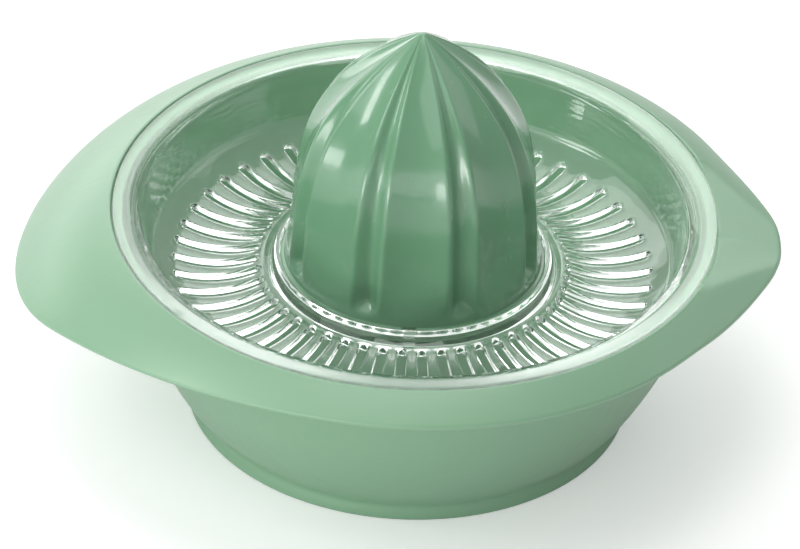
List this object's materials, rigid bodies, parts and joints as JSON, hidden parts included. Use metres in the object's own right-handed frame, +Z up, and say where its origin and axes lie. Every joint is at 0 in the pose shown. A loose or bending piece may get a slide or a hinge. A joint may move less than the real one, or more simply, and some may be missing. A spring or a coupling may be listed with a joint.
{
  "type": "citrus juicer",
  "caption": "Hand citrus juicer: a fluted reamer cone on a clear slotted strainer over a footed bowl with a drooping handle lobe and a pouring beak.",
  "frame": {"origin": "middle of the round foot, on the plane it stands on", "axes": "+Z up along the bowl's axis, +X from the middle towards the pouring beak, with the handle lobe at -X, +Y to the back"},
  "size_m": [0.2029, 0.18, 0.1152],
  "materials": {
    "bowl": "satin opaque sage green plastic",
    "strainer": "clear gloss plastic with no tint of its own",
    "reamer_cone": "gloss opaque sage green plastic"
  },
  "bodies": {
    "bowl": {"bowl": "bowl"},
    "strainer": {"strainer": "strainer"},
    "reamer": {"reamer_cone": "reamer_cone"}
  },
  "joints": [
    {"name": "strainer_lift", "type": "slide", "parent": "bowl", "child": "strainer", "axis": [0, 0, 1], "range_m": [0, 0.06]},
    {"name": "cone_lift", "type": "slide", "parent": "strainer", "child": "reamer", "axis": [0, 0, 1], "range_m": [0, 0.04]}
  ]
}
